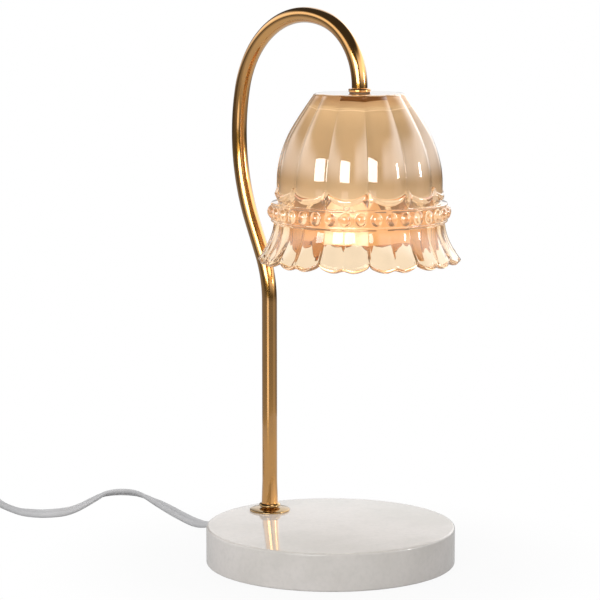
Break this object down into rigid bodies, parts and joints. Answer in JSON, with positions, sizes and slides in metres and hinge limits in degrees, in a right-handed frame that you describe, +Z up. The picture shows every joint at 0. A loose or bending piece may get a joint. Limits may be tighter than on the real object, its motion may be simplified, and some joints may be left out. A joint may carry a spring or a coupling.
{
  "type": "wax warmer lamp",
  "caption": "Table lamp that melts a scented candle from above: bent brass tube on a marble disc, pressed amber glass shade over a twist-lock bulb, cord with a dimmer wheel and a plug.",
  "frame": {"origin": "on the table, under the centre of the marble disc", "axes": "+Z up, +X from the stem to the shade"},
  "size_m": [0.3977, 0.201, 0.2886],
  "materials": {
    "marble": "polished, faint grey veins",
    "pad": "matte",
    "brass": "satin",
    "steel": "zinc plated",
    "gasket": "matte",
    "amber_glass": "pressed, clear, with a faint lustre",
    "ceramic": "matte",
    "bulb_ceramic": "gloss",
    "reflector": "mirror coat",
    "bulb_glass": "clear",
    "lamp_glow": "frosted, lit",
    "contact": "bright",
    "white_pvc": "satin",
    "case": "satin",
    "wheel": "matte",
    "pot": "matte",
    "board": "satin"
  },
  "bodies": {
    "lamp": {"marble_base": "marble", "base_pad": "pad", "foot_flange": "brass", "foot_collar": "brass", "arm_tube": "brass", "neck_ring": "brass", "shade_nipple": "brass", "lock_washer": "steel", "lock_nut": "steel", "shade_washer": "steel", "clamp_nut": "steel", "holder_strap": "steel", "strap_nut": "steel", "holder_screws": "steel", "dimmer_screws": "steel", "neck_gasket": "gasket", "shade_gasket": "gasket", "glass_shade": "amber_glass", "lampholder": "ceramic", "holder_contacts": "contact", "plug_blades": "contact", "strain_relief": "white_pvc", "lead_wires": "white_pvc", "cord_run": "white_pvc", "cord_tail": "white_pvc", "cord_coil": "white_pvc", "coil_tie": "white_pvc", "plug_body": "white_pvc", "dimmer_lower": "case", "dimmer_upper": "case", "dimmer_pot": "pot", "dimmer_board": "board"},
    "bulb": {"bulb_base": "bulb_ceramic", "bulb_pins": "contact", "bulb_reflector": "reflector", "bulb_capsule": "lamp_glow", "bulb_lens": "bulb_glass"},
    "wheel": {"dimmer_wheel": "wheel", "dimmer_shaft": "steel"}
  },
  "joints": [
    {"name": "bulb_twist", "type": "hinge", "parent": "lamp", "child": "bulb", "pos_m": [0.02064, 0, 0.2], "axis": [0, 0, 1], "range_deg": [0, 60]},
    {"name": "dimmer_turn", "type": "hinge", "parent": "lamp", "child": "wheel", "pos_m": [-0.312, -0.074, 0.013], "axis": [1, 0, 0], "range_deg": [-270, 0]}
  ]
}
